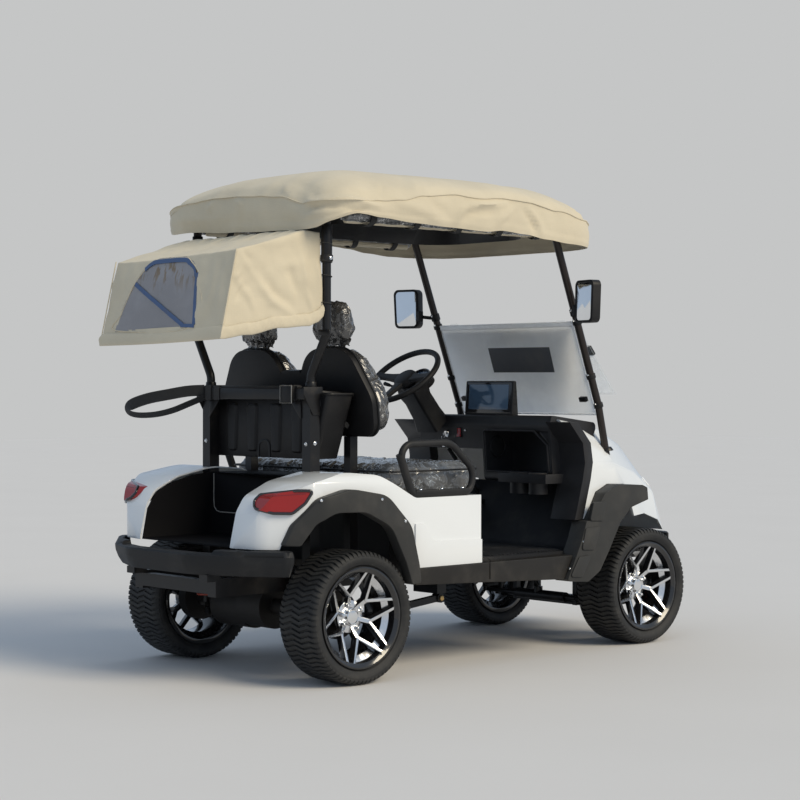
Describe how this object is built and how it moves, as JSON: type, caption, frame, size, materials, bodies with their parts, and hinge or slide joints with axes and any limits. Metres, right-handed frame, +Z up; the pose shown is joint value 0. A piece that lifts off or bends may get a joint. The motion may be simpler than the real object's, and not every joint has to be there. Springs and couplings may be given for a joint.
{
  "type": "golf cart",
  "caption": "Electric golf cart with side by side seats, forked-spoke alloy wheels, folding windshield, fabric roof cover and a covered golf bag well behind.",
  "frame": {"origin": "on the ground below the middle of the outer box", "axes": "+Z up, the cart drives towards -Y, its left side is +X, +Y to the rear"},
  "size_m": [1.2584, 2.655, 1.985],
  "materials": {
    "white_paint": "gloss",
    "black_plastic": "grained",
    "grey_plastic": "grained",
    "black_steel": "satin",
    "tyre": "dull",
    "alloy": "machined and black",
    "cast": "rough",
    "cream_fabric": "woven",
    "webbing": "woven",
    "seat_vinyl": "stitched",
    "clear_sheet": "clear",
    "lamp_red": "gloss",
    "lamp_clear": "gloss",
    "screen": "gloss",
    "curtain": "rolled film and cloth"
  },
  "bodies": {
    "body": {"chassis_frame": "black_steel", "front_subframe": "black_steel", "front_suspension": "black_steel", "rear_axle": "cast", "rear_suspension": "black_steel", "floor_pan": "grey_plastic", "sills": "black_plastic", "rear_body": "white_paint", "bag_well": "black_plastic", "rear_flares": "grey_plastic", "rear_bumper": "grey_plastic", "taillights": "lamp_red", "front_cowl": "white_paint", "front_bumper": "grey_plastic", "front_flares": "grey_plastic", "headlights": "lamp_clear", "dashboard": "black_plastic", "display": "screen", "steering_column": "black_plastic", "pedals": "black_steel", "seat_cushion": "seat_vinyl", "seat_backs": "seat_vinyl", "seat_shells": "black_plastic", "seat_supports": "black_steel", "armrests": "black_plastic", "rear_posts": "black_steel", "front_posts": "black_steel", "roof_panel": "black_plastic", "roof_cover": "cream_fabric", "bag_cover": "cream_fabric", "windshield": "clear_sheet", "mirrors": "black_plastic", "basket": "black_plastic", "bag_rack": "black_steel", "bag_straps": "webbing", "curtain_rolls": "curtain", "battery_pack": "black_plastic"},
    "knuckle_left": {"knuckle_left": "cast"},
    "knuckle_right": {"knuckle_right": "cast"},
    "rack": {"tie_rods": "black_steel"},
    "steering": {"steering_wheel": "black_plastic"},
    "wheel_front_left": {"tyre_front_left": "tyre", "rim_front_left": "alloy"},
    "wheel_front_right": {"tyre_front_right": "tyre", "rim_front_right": "alloy"},
    "wheel_rear_left": {"tyre_rear_left": "tyre", "rim_rear_left": "alloy"},
    "wheel_rear_right": {"tyre_rear_right": "tyre", "rim_rear_right": "alloy"}
  },
  "joints": [
    {"name": "steer_left", "type": "hinge", "parent": "body", "child": "knuckle_left", "pos_m": [0.37, -0.9125, 0.253], "axis": [0, 0, 1], "range_deg": [-28, 28]},
    {"name": "steer_right", "type": "hinge", "parent": "body", "child": "knuckle_right", "pos_m": [-0.37, -0.9125, 0.253], "axis": [0, 0, 1], "range_deg": [-28, 28]},
    {"name": "wheel_front_left_spin", "type": "hinge", "parent": "knuckle_left", "child": "wheel_front_left", "pos_m": [0.447, -0.9125, 0.253], "axis": [1, 0, 0], "continuous": true},
    {"name": "wheel_front_right_spin", "type": "hinge", "parent": "knuckle_right", "child": "wheel_front_right", "pos_m": [-0.447, -0.9125, 0.253], "axis": [1, 0, 0], "continuous": true},
    {"name": "wheel_rear_left_spin", "type": "hinge", "parent": "body", "child": "wheel_rear_left", "pos_m": [0.494, 0.7975, 0.253], "axis": [1, 0, 0], "continuous": true},
    {"name": "wheel_rear_right_spin", "type": "hinge", "parent": "body", "child": "wheel_rear_right", "pos_m": [-0.494, 0.7975, 0.253], "axis": [1, 0, 0], "continuous": true},
    {"name": "steering_wheel_turn", "type": "hinge", "parent": "body", "child": "steering", "pos_m": [0.3, -0.2325, 1.172], "axis": [0, 0.6369, 0.771], "range_deg": [-340, 340]},
    {"name": "rack_slide", "type": "slide", "parent": "body", "child": "rack", "axis": [1, 0, 0], "range_m": [-0.05, 0.05]}
  ],
  "couplings": [
    {"joint": "steer_right", "follows": "steer_left", "ratio": 1},
    {"joint": "steering_wheel_turn", "follows": "steer_left", "ratio": 12},
    {"joint": "rack_slide", "follows": "steer_left", "m_per_rad": -0.1}
  ]
}
